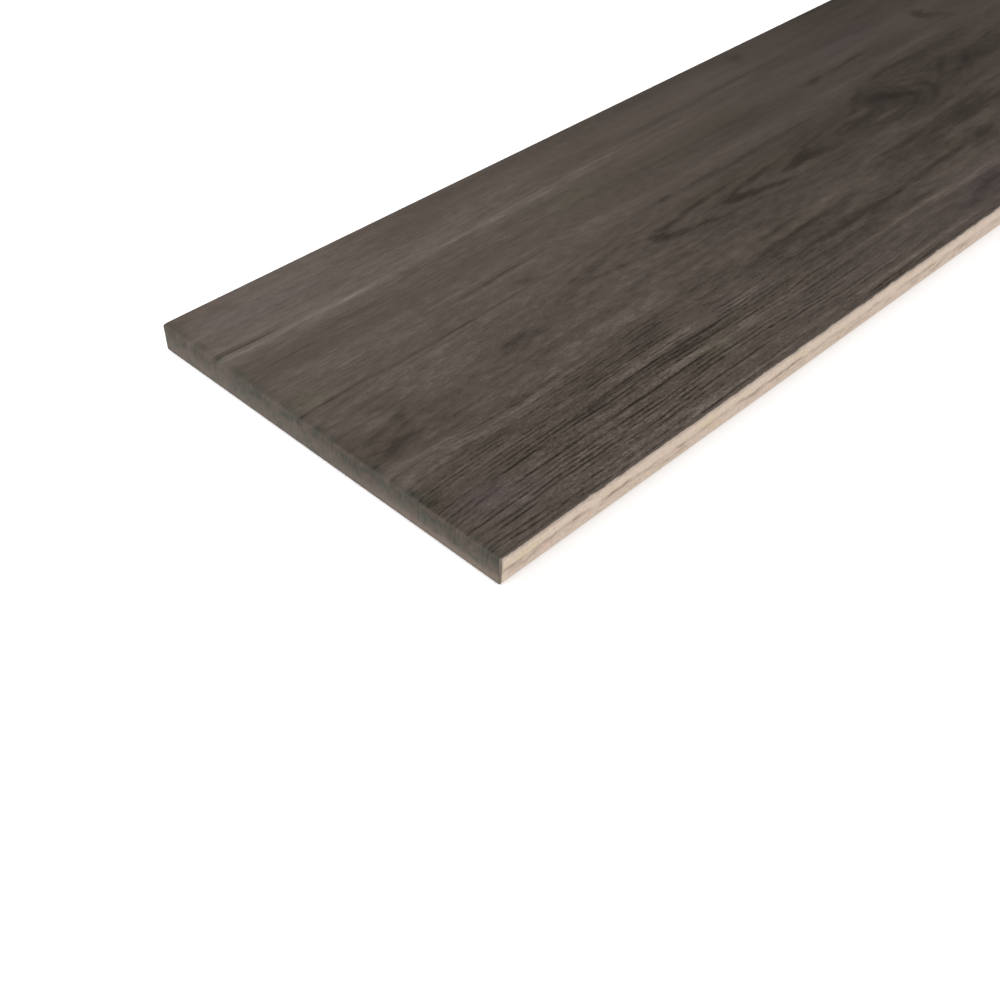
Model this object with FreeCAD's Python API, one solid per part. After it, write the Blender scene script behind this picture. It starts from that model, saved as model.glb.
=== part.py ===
"""Wood look porcelain plank tile, dry pressed and fired as one piece. Millimetres.

X runs along the plank and its grain, Y across it, Z up through its thickness.
The origin is the centre of the underside, on the plane that the tile beds on.
The two ends are as pressed: the face rolls down to a rounded arris there.
The two long sides are squared with a fine bevel. The back has a keyed grid.
"""
import FreeCAD
import Part
import math
import os

# plank
LENGTH = 600.0
WIDTH = 150.0
THICKNESS = 10.0

# pressed ends
END_ROLL_RUN = 3.0
END_ROLL_DROP = 0.7
END_ARRIS_RADIUS = 0.8
END_FOOT_CHAMFER = 0.6

# squared long sides
SIDE_TOP_BEVEL = 0.35
SIDE_FOOT_CHAMFER = 0.5

# corners in plan, where an end meets a long side
CORNER_RADIUS = 0.5

# keyed back: rows of shallow drafted cells with cut corners between ribs, inside a plain border
KEY_BORDER = 9.0
KEY_PITCH = 24.0
KEY_RIB = 4.0
KEY_DEPTH = 0.8
KEY_DRAFT_DEG = 35.0
KEY_FLOOR_CORNER_CUT = 2.4

UP = FreeCAD.Vector(0, 0, 1)
QUARTER_TURN = 90


def point(x, y, z):
    """A point in the tile's frame."""
    return FreeCAD.Vector(x, y, z)


def outline(corners):
    """Straight edges from each corner to the next, left open at the end."""
    return [Part.LineSegment(a, b).toShape() for a, b in zip(corners, corners[1:])]


def rounded_rectangle(size_x, size_y, radius, z):
    """A closed wire of four straights and four arcs, centred on the Z axis at height z."""
    edges = []
    for turn in range(4):
        across, along = (size_x, size_y) if turn % 2 == 0 else (size_y, size_x)
        straight = Part.LineSegment(
            point(across / 2, radius - along / 2, z), point(across / 2, along / 2 - radius, z)
        ).toShape()
        corner_centre = point(across / 2 - radius, along / 2 - radius, z)
        corner = Part.makeCircle(radius, corner_centre, UP, 0, QUARTER_TURN)
        for edge in (straight, corner):
            edge.rotate(point(0, 0, 0), UP, QUARTER_TURN * turn)
            edges.append(edge)
    return Part.Wire(Part.__sortEdges__(edges))


def roll_arc_radius():
    """Radius of the arc that leaves the face level and falls END_ROLL_DROP over END_ROLL_RUN."""
    return (END_ROLL_RUN**2 + END_ROLL_DROP**2) / (2 * END_ROLL_DROP)


def end_profile():
    """Half of the section along the plank: flat face, end roll, arris, end face and foot chamfer."""
    half = LENGTH / 2
    radius = roll_arc_radius()
    roll_start = half - END_ROLL_RUN
    roll_centre_z = THICKNESS - radius

    # the arris arc touches the roll from inside and the end face
    arris_x = half - END_ARRIS_RADIUS
    reach = radius - END_ARRIS_RADIUS
    arris_z = roll_centre_z + math.sqrt(reach**2 - (arris_x - roll_start) ** 2)
    meet_angle = math.atan2(arris_z - roll_centre_z, arris_x - roll_start)
    roll_half_way = (meet_angle + math.pi / 2) / 2
    arris_half_way = meet_angle / 2

    def on_roll(angle):
        return point(roll_start + radius * math.cos(angle), 0, roll_centre_z + radius * math.sin(angle))

    def on_arris(angle):
        x = arris_x + END_ARRIS_RADIUS * math.cos(angle)
        return point(x, 0, arris_z + END_ARRIS_RADIUS * math.sin(angle))

    top_middle = point(0, 0, THICKNESS)
    flat_end = point(roll_start, 0, THICKNESS)
    roll = Part.Arc(flat_end, on_roll(roll_half_way), on_roll(meet_angle))
    arris = Part.Arc(on_roll(meet_angle), on_arris(arris_half_way), on_arris(0))
    foot = [
        on_arris(0),
        point(half, 0, END_FOOT_CHAMFER),
        point(half - END_FOOT_CHAMFER, 0, 0),
        point(0, 0, 0),
    ]
    edges = outline([top_middle, flat_end])
    return edges + [roll.toShape(), arris.toShape()] + outline(foot + [top_middle])


def end_prism():
    """The plank as its ends shape it: the lengthwise section carried across the width."""
    half_face = Part.Face(Part.Wire(Part.__sortEdges__(end_profile())))
    half_face.translate(point(0, -WIDTH / 2, 0))
    half_prism = half_face.extrude(point(0, WIDTH, 0))
    other_half = half_prism.mirror(point(0, 0, 0), point(1, 0, 0))
    return half_prism.fuse(other_half).removeSplitter()


def side_prism():
    """The plank as its long sides shape it: the crosswise section carried along the length."""
    half = WIDTH / 2
    right = [
        (half - SIDE_FOOT_CHAMFER, 0),
        (half, SIDE_FOOT_CHAMFER),
        (half, THICKNESS - SIDE_TOP_BEVEL),
        (half - SIDE_TOP_BEVEL, THICKNESS),
    ]
    loop = right + [(-y, z) for y, z in reversed(right)]
    corners = [point(-LENGTH / 2, y, z) for y, z in loop]
    section = Part.Face(Part.Wire(outline(corners + corners[:1])))
    return section.extrude(point(LENGTH, 0, 0))


def corner_prism():
    """The plan outline with its four small corner radii, carried through the thickness."""
    plan = Part.Face(rounded_rectangle(LENGTH, WIDTH, CORNER_RADIUS, 0))
    return plan.extrude(point(0, 0, THICKNESS))


def cut_corner_rectangle(size_x, size_y, cut, z):
    """The eight corners of a rectangle less its own corners, centred on the Z axis at height z."""
    half_x = size_x / 2
    half_y = size_y / 2
    quarter = [(half_x, half_y - cut), (half_x - cut, half_y)]
    left_quarter = [(-x, y) for x, y in reversed(quarter)]
    upper = quarter + left_quarter
    lower = [(-x, -y) for x, y in upper]
    return [point(x, y, z) for x, y in upper + lower]


def flat_face(corners):
    """A plane face inside a closed run of corners."""
    return Part.Face(Part.makePolygon(corners + corners[:1]))


def key_cell(size_x, size_y):
    """One recess of the keyed back: wide at the bedding plane, narrower by its draft at its floor."""
    inset = KEY_DEPTH * math.tan(math.radians(KEY_DRAFT_DEG))
    mouth_cut = KEY_FLOOR_CORNER_CUT + inset * (2 - math.sqrt(2))
    mouth = cut_corner_rectangle(size_x, size_y, mouth_cut, 0)
    floor = cut_corner_rectangle(size_x - 2 * inset, size_y - 2 * inset, KEY_FLOOR_CORNER_CUT, KEY_DEPTH)
    sides = zip(mouth, mouth[1:] + mouth[:1], floor[1:] + floor[:1], floor)
    walls = [flat_face(list(corners)) for corners in sides]
    return Part.Solid(Part.Shell(walls + [flat_face(mouth), flat_face(floor)]))


def cell_centres(extent):
    """Where the cells of one extent are centred, and their pitch.

    Their number is even, so that two ribs cross at the centre of the back.
    """
    field = extent - 2 * KEY_BORDER + KEY_RIB
    count = 2 * max(1, round(field / (2 * KEY_PITCH)))
    pitch = field / count
    return [(index - (count - 1) / 2) * pitch for index in range(count)], pitch


def keyed_back():
    """Every recess of the back, in place."""
    centres_x, pitch_x = cell_centres(LENGTH)
    centres_y, pitch_y = cell_centres(WIDTH)
    cell = key_cell(pitch_x - KEY_RIB, pitch_y - KEY_RIB)
    cells = []
    for x in centres_x:
        for y in centres_y:
            copy = cell.copy()
            copy.translate(point(x, y, 0))
            cells.append(copy)
    return cells


def plank_tile():
    """The fired tile as one solid."""
    blank = end_prism().common(side_prism()).common(corner_prism()).removeSplitter()
    return blank.cut(keyed_back())


def main():
    """Builds the tile and writes its STEP file."""
    os.makedirs("parts", exist_ok=True)
    tile = plank_tile()
    solid = tile.Solids[0]
    solid.exportStep("parts/plank_tile.step")
    box = solid.BoundBox
    print("solids", len(tile.Solids), "valid", solid.isValid(), "faces", len(solid.Faces))
    print("size", round(box.XLength, 3), round(box.YLength, 3), round(box.ZLength, 3))
    print("volume", round(solid.Volume, 1), "mm3")


main()
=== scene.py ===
import logging
import math
from dataclasses import dataclass
from enum import Enum

import bpy
import numpy as np
from mathutils import Matrix, Vector


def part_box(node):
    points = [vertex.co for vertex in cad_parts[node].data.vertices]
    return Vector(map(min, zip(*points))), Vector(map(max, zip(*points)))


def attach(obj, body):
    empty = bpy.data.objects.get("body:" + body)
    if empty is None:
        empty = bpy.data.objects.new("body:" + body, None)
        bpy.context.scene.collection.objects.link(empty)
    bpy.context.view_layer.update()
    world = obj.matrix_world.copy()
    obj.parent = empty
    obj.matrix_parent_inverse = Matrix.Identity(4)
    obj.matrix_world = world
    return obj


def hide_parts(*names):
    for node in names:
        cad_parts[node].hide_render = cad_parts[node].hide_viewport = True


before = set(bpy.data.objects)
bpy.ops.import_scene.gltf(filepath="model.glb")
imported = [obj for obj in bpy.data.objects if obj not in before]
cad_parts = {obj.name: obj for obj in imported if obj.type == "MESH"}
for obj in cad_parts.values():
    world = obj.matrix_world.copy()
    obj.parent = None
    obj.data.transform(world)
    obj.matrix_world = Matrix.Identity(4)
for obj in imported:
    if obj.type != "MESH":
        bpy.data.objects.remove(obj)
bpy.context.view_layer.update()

log = logging.getLogger("plank_tile")

NODE = "plank_tile"
MM = 0.001
SHARP_DEG = 32.0
MERGE_DECIMALS = 3
LAYER_SHIFT = 17.3
NOISE_SPAN = 2.6

Array = np.ndarray
Colour = tuple[float, float, float]
Shades = tuple[tuple[float, Colour], ...]

RIB_SHARES = np.array([-1.0, -0.7, -0.25, 0.25, 0.7])


def ease(x: Array, low: float, high: float) -> Array:
    """Rises smoothly from 0 to 1 as x goes from low to high: t squared times (3 less 2 t)."""
    t = np.clip((x - low) / (high - low), 0.0, 1.0)
    return t * t * (3 - 2 * t)


def hump(x: Array, centre: float, reach: float) -> Array:
    """A bell of height 1 at the centre, exp of minus the square of the distance over its reach."""
    return np.exp(-(((x - centre) / reach) ** 2))


def lattice(i: Array, j: Array, seed: int) -> Array:
    """A fixed random value for each whole point of a lattice, by multiplying and folding its bits.

    Args:
        i: First whole coordinate.
        j: Second whole coordinate.
        seed: Which of the lattices to read.

    Returns:
        A value from 0 to 1 for each point.
    """
    bits = 0xFFFFFFFF
    h = (i.astype(np.int64) * 374761393 + j.astype(np.int64) * 668265263 + seed * 974634777) & bits
    h = ((h ^ (h >> 13)) * 1274126177) & bits
    h = ((h ^ (h >> 15)) * 747796405) & bits
    return (h ^ (h >> 16)) / bits


def smooth_noise(u: Array, v: Array, seed: int) -> Array:
    """A smooth random surface: lattice values joined by the quintic 6 t^5 less 15 t^4 plus 10 t^3.

    Args:
        u: First coordinate, one lattice step to a unit.
        v: Second coordinate, one lattice step to a unit.
        seed: Which of the lattices to read.

    Returns:
        The surface's height, from -1 to 1.
    """
    i, j = np.floor(u), np.floor(v)
    s, t = u - i, v - j
    s = s * s * s * (s * (6 * s - 15) + 10)
    t = t * t * t * (t * (6 * t - 15) + 10)
    near = lattice(i, j, seed) * (1 - s) + lattice(i + 1, j, seed) * s
    far = lattice(i, j + 1, seed) * (1 - s) + lattice(i + 1, j + 1, seed) * s
    return 2 * (near * (1 - t) + far * t) - 1


def layered_noise(u: Array, v: Array, seed: int, layers: int = 2, gain: float = 0.55) -> Array:
    """Smooth noise summed over layers, each twice as fine and `gain` times as strong as the last.

    Args:
        u: First coordinate.
        v: Second coordinate.
        seed: The first layer's lattice.
        layers: How many layers there are.
        gain: Each layer's strength over the one before.

    Returns:
        The sum over its greatest possible value, from -1 to 1.
    """
    total = np.zeros(np.broadcast(u, v).shape)
    weight, norm = 1.0, 0.0
    for layer in range(layers):
        finer = smooth_noise(u * 2**layer, v * 2**layer + LAYER_SHIFT * layer, seed + layer)
        total = total + weight * finer
        norm += weight
        weight *= gain
    return total / norm


@dataclass(frozen=True)
class Crown:
    """A crest of the growth rings along the pith line, where pointed arches nest.

    Args:
        along: Where the crest is.
        level: Its height in rings over the plain boards beside it.
        before: Millimetres from ring to ring on the way up to it.
        after: Millimetres from ring to ring on the way down.
    """

    along: float
    level: float
    before: float
    after: float


@dataclass(frozen=True)
class Knot:
    """A place that the fibres part around, or draw together at.

    Args:
        along: Its centre along the plank.
        across: Its centre across the plank.
        length: How far it moves the fibres along the plank.
        width: How far it moves them across it.
        push: How much of the way to its centre the fibres are kept off, or drawn in if below 0.
    """

    along: float
    across: float
    length: float
    width: float
    push: float


@dataclass(frozen=True)
class Streak:
    """One pale or dark line that follows the fibres.

    Args:
        start: Where it starts along the plank.
        end: Where it ends.
        across: Its place across the plank, halfway along it.
        width: Half its width.
        tone: How pale it is, or how dark if below 0.
    """

    start: float
    end: float
    across: float
    width: float
    tone: float


@dataclass(frozen=True)
class Blot:
    """A soft oval of darker or paler wood, such as the heart of a knot.

    Args:
        along: Its centre along the plank.
        across: Its centre across the plank.
        length: Half its length.
        width: Half its width.
        tone: How pale it is, or how dark if below 0.
        slant: How far it moves across for each millimetre along.
    """

    along: float
    across: float
    length: float
    width: float
    tone: float
    slant: float = 0.0


@dataclass(frozen=True)
class SoftBorder:
    """A line over the plank where the print starts or stops being drawn soft, first aslant and then straight.

    Args:
        lean: How far along the plank the line moves for each millimetre across it.
        bend: The place across the plank beyond which the line runs straight across.
        start: Where the change starts, along the plank at its near side.
        end: Where the change is complete there.
    """

    lean: float
    bend: float
    start: float
    end: float

    def passed(self, along: Array, across: Array) -> Array:
        """How far each point is past the border, from 0 to 1."""
        return ease(along - self.lean * np.minimum(across, self.bend), self.start, self.end)

    def passed_in(self, g: "Graph", along: "Value", across: "Value") -> "Value":
        """The same, worked out in a shader."""
        return g.ease(along - g.math("MINIMUM", across, self.bend) * self.lean, self.start, self.end)


SHARP_AGAIN = SoftBorder(1.76, 95.0, 250.0, 310.0)


@dataclass(frozen=True)
class WoodPrint:
    """The wood grain on the face, as fields over the plank: `along` it and `across` it in millimetres.

    Args:
        waves: The waves that the fibres run in, longest first: height, length, breadth and lattice.
        pith: The line that the arches of the growth rings stand on, as places along and across.
        ring_half_width: How far from the pith line the level falls by one ring.
        plain_level: The level of the rings where there is no crown.
        crest_sharpness: How sharply a crown stands over the plain level.
        vein_pitch: The spacing of the fine dark veins.
        crowns: The crests of the rings.
        knots: Where fibres part or draw together.
        streaks: Lines placed one by one.
        blots: Ovals placed one by one.
        tints: Ovals of another hue, placed one by one.
        veins_soften: Past which border the veins print softer.
        veins_sharpen: Past which border they are as sharp as before.
    """

    waves: tuple[tuple[float, float, float, int], ...] = (
        (1.8, 170.0, 70.0, 11),
        (0.7, 55.0, 26.0, 12),
        (0.42, 17.0, 8.0, 13),
        (0.17, 8.0, 3.0, 18),
    )
    pith: tuple[tuple[float, float], ...] = (
        (0, 65.5), (27, 66.5), (52, 63.0), (84, 61.5), (96, 67.0), (109, 73.5), (148, 72.5),
        (186, 71.0), (225, 69.5), (296, 76.0), (342, 75.5), (420, 70.0), (500, 67.0), (600, 74.0),
    )
    ring_half_width: float = 7.0
    plain_level: float = -2.2
    crest_sharpness: float = 3.0
    vein_pitch: float = 1.62
    crowns: tuple[Crown, ...] = (
        Crown(-8.0, 0.55, 30.0, 22.6),
        Crown(75.0, 0.35, 17.0, 17.0),
        Crown(284.0, 3.45, 38.5, 11.0),
        Crown(342.0, -0.4, 12.0, 12.0),
        Crown(452.0, 2.2, 30.0, 18.0),
        Crown(590.0, 1.6, 26.0, 14.0),
    )
    knots: tuple[Knot, ...] = (
        Knot(13.0, 46.5, 18.0, 7.0, -0.8),
        Knot(293.0, 77.5, 16.0, 8.0, 0.7),
        Knot(342.0, 76.0, 10.0, 6.0, 0.6),
        Knot(382.0, 111.0, 12.0, 7.0, 0.6),
        Knot(470.0, 38.0, 12.0, 7.0, 0.6),
        Knot(528.0, 104.0, 10.0, 5.0, 0.6),
    )
    streaks: tuple[Streak, ...] = (
        Streak(-5, 62, 120.0, 1.0, 1.25),
        Streak(-5, 20, 125.0, 1.2, 0.9),
        Streak(-5, 22, 122.5, 0.5, -3.4),
        Streak(-5, 14, 123.7, 0.4, -3.2),
        Streak(40, 230, 121.0, 1.0, 0.6),
        Streak(110, 190, 123.5, 0.8, 0.7),
        Streak(120, 275, 126.0, 0.7, 0.6),
        Streak(32, 58, 111.0, 1.0, -1.3),
        Streak(6, 34, 108.3, 0.6, -0.8),
        Streak(60, 180, 109.0, 0.9, -0.5),
        Streak(90, 260, 107.0, 1.4, -0.5),
        Streak(200, 300, 129.5, 1.2, -0.9),
        Streak(180, 260, 118.0, 1.4, 0.5),
        Streak(130, 300, 94.5, 3.0, 0.8),
        Streak(72, 118, 94.2, 0.55, -1.7),
        Streak(70, 112, 92.2, 1.0, 0.9),
        Streak(140, 205, 87.4, 0.9, -0.9),
        Streak(180, 262, 86.8, 1.3, -0.8),
        Streak(-5, 33, 82.3, 0.5, -2.2),
        Streak(32, 66, 81.8, 0.5, -1.6),
        Streak(62, 104, 82.6, 0.6, -1.4),
        Streak(44, 74, 79.5, 0.4, -0.9),
        Streak(280, 323, 95.0, 1.6, 0.9),
        Streak(322, 372, 97.0, 2.2, 1.2),
        Streak(308, 338, 90.9, 1.3, -2.0),
        Streak(338, 380, 90.0, 2.6, -0.9),
        Streak(302, 330, 106.8, 0.9, -1.1),
        Streak(148, 167, 61.2, 0.5, 1.5),
        Streak(44, 104, 43.2, 0.5, -1.8),
        Streak(92, 130, 42.6, 0.6, -1.4),
        Streak(170, 207, 41.3, 0.8, -1.7),
        Streak(190, 240, 31.5, 1.2, -1.5),
        Streak(182, 292, 20.0, 1.5, 0.75),
        Streak(24, 42, 36.5, 0.6, -1.4),
        Streak(50, 76, 32.0, 0.7, 1.2),
        Streak(66, 100, 24.6, 0.9, 1.2),
        Streak(60, 132, 26.9, 0.5, -1.9),
        Streak(90, 134, 24.0, 0.6, -2.0),
        Streak(28, 112, 17.6, 0.5, -2.0),
        Streak(84, 108, 21.5, 0.8, 1.2),
        Streak(-5, 34, 4.2, 0.6, -1.6),
        Streak(0, 60, 10.0, 0.5, -1.2),
        Streak(58, 262, 19.4, 1.1, 1.0),
        Streak(100, 345, 12.0, 6.5, -0.42),
        Streak(58, 262, 24.0, 3.2, -0.6),
        Streak(60, 300, 4.8, 1.2, 0.5),
        Streak(245, 335, 30.0, 3.5, -0.6),
        Streak(125, 225, 42.0, 8.0, -0.35),
        Streak(170, 250, 72.0, 7.0, -0.45),
        Streak(235, 312, 71.0, 10.0, -0.6),
        Streak(292, 345, 88.0, 5.5, -0.65),
        Streak(225, 360, 107.0, 6.5, -0.5),
        Streak(200, 262, 101.0, 5.0, -0.35),
        Streak(60, 300, 122.5, 4.5, 0.5),
        Streak(-5, 150, 127.0, 10.0, 0.4),
        Streak(15, 105, 69.0, 9.0, -0.35),
        Streak(100, 180, 63.0, 4.0, -0.3),
        Streak(100, 150, 84.0, 6.0, -0.3),
        Streak(232, 246, 18.4, 0.5, 1.4),
        Streak(38, 64, 1.3, 0.9, 1.7),
        Streak(56, 84, 2.2, 0.8, 1.1),
        Streak(82, 132, 2.1, 0.9, 1.5),
        Streak(40, 62, 3.4, 0.4, -1.1),
        Streak(42, 108, 4.6, 0.7, 0.7),
        Streak(48, 104, 5.8, 0.5, -1.0),
        Streak(136, 262, 3.6, 0.9, 0.9),
        Streak(140, 205, 2.0, 0.6, -0.9),
        Streak(60, 150, 97.0, 0.5, 0.5),
        Streak(430, 560, 120.0, 1.2, 0.7),
        Streak(440, 590, 30.0, 1.2, -0.9),
        Streak(400, 470, 52.0, 0.9, 0.6),
        Streak(480, 600, 92.0, 2.0, -0.8),
    )
    blots: tuple[Blot, ...] = (
        Blot(300.0, 0.4, 900.0, 0.6, -1.0),
        Blot(297.0, 77.5, 7.5, 3.8, -3.7, -0.25),
        Blot(306.5, 73.0, 6.0, 2.2, -2.5, -0.42),
        Blot(290.0, 84.8, 5.5, 1.7, -1.5, 0.45),
        Blot(277.0, 72.4, 12.0, 1.0, -1.3, 0.08),
        Blot(286.0, 68.0, 9.0, 1.3, 1.4, 0.02),
        Blot(276.0, 76.2, 7.0, 1.1, 1.1, 0.05),
        Blot(288.0, 63.4, 15.0, 1.1, -0.8, 0.04),
        Blot(306.3, 67.4, 3.6, 1.9, -2.4, 1.15),
        Blot(317.5, 74.0, 3.0, 1.4, -1.8, -0.5),
        Blot(321.0, 70.2, 1.8, 2.8, -2.1),
        Blot(317.0, 65.6, 3.6, 1.5, -2.4, 0.65),
        Blot(309.5, 62.2, 4.5, 1.1, -1.0, 0.34),
        Blot(341.0, 77.5, 6.0, 1.9, -2.8, 0.48),
        Blot(343.0, 69.5, 2.8, 1.3, -1.3, 0.2),
        Blot(353.0, 72.3, 5.5, 2.2, -2.1, 0.7),
        Blot(361.0, 72.5, 7.0, 3.0, -0.7),
        Blot(380.5, 111.5, 3.6, 4.6, -2.3),
        Blot(387.0, 105.5, 4.0, 3.0, -0.9, -0.6),
        Blot(290.5, 106.0, 3.6, 1.9, -1.4, 0.2),
        Blot(159.5, 75.2, 7.5, 1.6, -0.85, 0.13),
        Blot(178.0, 77.0, 7.5, 1.4, -0.9, 0.04),
        Blot(191.5, 77.6, 4.5, 1.3, -0.9),
        Blot(152.5, 71.2, 5.0, 1.8, -1.0, -0.4),
        Blot(165.0, 68.0, 11.0, 1.7, -0.85, -0.22),
        Blot(188.5, 70.4, 4.5, 1.8, -0.95, -0.1),
        Blot(195.0, 68.8, 4.5, 2.1, -1.2, -0.3),
        Blot(209.0, 65.7, 12.0, 1.5, -1.0, -0.2),
        Blot(208.5, 74.2, 8.0, 1.4, -1.1, 0.16),
        Blot(232.5, 71.0, 7.0, 2.4, -1.25, 0.05),
        Blot(172.0, 88.0, 4.5, 1.0, -1.3),
        Blot(285.0, 142.0, 4.0, 4.0, -0.9),
        Blot(299.0, 32.0, 8.0, 4.5, -1.5),
        Blot(310.0, 49.0, 5.0, 3.0, -1.0),
        Blot(0.0, 29.0, 7.0, 4.5, -1.4),
        Blot(205.0, 31.0, 5.0, 1.4, -1.3),
        Blot(188.0, 47.5, 13.0, 3.4, -0.9),
        Blot(177.0, 39.3, 9.0, 2.0, -0.9),
        Blot(98.0, 85.8, 4.0, 1.8, -1.5),
        Blot(12.0, 53.5, 6.0, 2.2, -1.3, 0.2),
        Blot(104.0, 37.5, 9.0, 1.8, -0.9, 0.05),
        Blot(74.0, 63.5, 12.0, 2.6, -0.9, 0.0),
        Blot(470.0, 38.0, 7.0, 4.0, -2.0, 0.1),
        Blot(528.0, 104.0, 5.0, 3.0, -1.8),
        Blot(452.0, 71.0, 10.0, 3.0, -1.2),
    )
    tints: tuple[Blot, ...] = (
        Blot(285.0, 13.0, 120.0, 12.0, -1.0),
        Blot(17.0, 17.0, 13.0, 9.0, -0.9, -0.4),
        Blot(150.0, 112.0, 60.0, 13.0, 0.5),
        Blot(205.0, 78.0, 62.0, 6.0, 0.55, -0.06),
        Blot(88.0, 34.0, 15.0, 3.5, 0.8, 0.12),
        Blot(112.0, 18.0, 13.0, 5.0, 0.8),
        Blot(16.0, 27.0, 9.0, 3.0, 0.8),
        Blot(20.0, 65.0, 9.0, 4.0, 0.9, -0.3),
        Blot(0.0, 29.0, 6.0, 6.0, 1.3),
        Blot(8.0, 88.0, 7.0, 5.0, 0.8),
        Blot(30.0, 138.0, 40.0, 10.0, -0.7),
        Blot(330.0, 120.0, 60.0, 12.0, -0.5),
    )
    veins_soften: SoftBorder = SoftBorder(-1.5, 40.0, 150.0, 240.0)
    veins_sharpen: SoftBorder = SHARP_AGAIN

    def fibre(self, along: Array, across: Array) -> Array:
        """Which fibre runs through each point, by its place across the plank.

        The place across, plus each wave: its height times a smooth noise over its length and breadth. Less
        the push of each knot: the distance from its centre line, times its push, times a bell over its size.

        Args:
            along: Places along the plank.
            across: Places across it.

        Returns:
            Each point's fibre, in millimetres across.
        """
        f = across
        for height, length, breadth, seed in self.waves:
            f = f + height * smooth_noise(along / length, across / breadth, seed)
        for knot in self.knots:
            reach = hump(along, knot.along, knot.length) * hump(across, knot.across, knot.width)
            f = f - (across - knot.across) * knot.push * reach
        return f

    def off_pith(self, along: Array, fibre: Array) -> Array:
        """How far each fibre lies from the fibre on the pith line."""
        places, heights = zip(*self.pith)
        return fibre - self.fibre(along, np.interp(along, places, heights))

    def rings(self, along: Array, fibre: Array) -> Array:
        """The growth ring at each point, a whole number on each ring line.

        Along the pith line the rings climb to each crown and fall again: the softened largest of the crowns'
        tents. Away from it they fall with the square of the distance, so a crown's lines are nested arches.

        Args:
            along: Places along the plank.
            fibre: The fibre at each point.

        Returns:
            Each point's level, in rings.
        """
        sharp = self.crest_sharpness
        plain = self.plain_level + 0.4 * smooth_noise(along / 90, 0 * along, 14)
        total = np.exp(sharp * plain)
        for crown in self.crowns:
            off = along - crown.along
            gap = np.where(off < 0, -off / crown.before, off / crown.after)
            total = total + np.exp(sharp * (crown.level - gap))
        level = np.log(total) / sharp + 0.2 * layered_noise(along / 11, fibre / 3, 16)
        return level - (self.off_pith(along, fibre) / self.ring_half_width) ** 2

    def ring_show(self, along: Array, fibre: Array) -> Array:
        """How plainly the ring lines print: most beside the pith line, and past the first arches.

        Args:
            along: Places along the plank.
            fibre: The fibre at each point.

        Returns:
            How plain they are, from 0 to 1.
        """
        off = self.off_pith(along, fibre)
        far = 1 - 0.6 * ease(along, 246, 268) * (1 - ease(along, 350, 380))
        near = 0.65 * (1 - ease(along, 24, 40)) + 0.45 * hump(along, 75, 26)
        return np.clip(0.8 * ease(along, 98, 112) * far + near, 0, 1) * hump(off, 0, 7.5)

    def veins(self, along: Array, across: Array, fibre: Array) -> tuple[Array, Array]:
        """The fine dark veins that follow the fibres, dense at the near side and sparse further across.

        Each vein's strength is a noise of its own along the plank, times how dense the veins are there, times
        how sharply the print is drawn: less so in its soft part, and on the first stretch from the near end.

        Args:
            along: Places along the plank.
            across: Places across it.
            fibre: The fibre at each point.

        Returns:
            A count that passes a half at the middle of each vein, and the vein's strength there, from 0 to 1.
        """
        count = fibre / self.vein_pitch + 0.8 * smooth_noise(along / 60, fibre / 13, 31)
        own = np.floor(count)
        strength = 0.36 + 0.85 * smooth_noise(along / 15, own * 5.3, 32)
        dense = 0.12 + 0.88 * (1 - ease(across, 24, 52)) + 0.1 * hump(across, 122, 14)
        dense = dense + 0.25 * (1 - ease(along, 18, 45)) * hump(across, 92, 20)
        blur = self.veins_soften.passed(along, across) * (1 - self.veins_sharpen.passed(along, across))
        focus = 1 - 0.8 * blur
        focus = focus * (1 - 0.45 * (1 - ease(along, 8, 32)) * ease(across, 14, 30))
        return count, np.clip(strength, 0, 1) * dense * focus

    def grooves(self, along: Array, across: Array, fibre: Array) -> Array:
        """How deep the grain is pressed at each point: the veins at their strength, and the ring lines.

        Args:
            along: Places along the plank.
            across: Places across it.
            fibre: The fibre at each point.

        Returns:
            The depth, from 0 on the face to 1 in the deepest groove.
        """
        count, strength = self.veins(along, across, fibre)
        vein = 1 - ease(np.abs(count - np.floor(count) - 0.5), 0.04, 0.3)
        ring = self.rings(along, fibre)
        line = hump(ring - np.round(ring), 0.0, 0.16) * self.ring_show(along, fibre)
        return np.clip(vein * strength + 0.6 * line, 0, 1)

    @staticmethod
    def lay(blots: tuple[Blot, ...], along: Array, across: Array) -> Array:
        """The sum of the ovals: each is its tone times exp of minus its two distances, nearly squared.

        Args:
            blots: The ovals.
            along: Places along the plank.
            across: Places across it.

        Returns:
            What they add to the tone at each point.
        """
        total = np.zeros(np.broadcast(along, across).shape)
        for blot in blots:
            off_along = np.abs(along - blot.along) / blot.length
            off_across = np.abs(across - blot.across - blot.slant * (along - blot.along)) / blot.width
            total = total + blot.tone * np.exp(-(off_along**2.4) - off_across**2.2)
        return total

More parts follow.
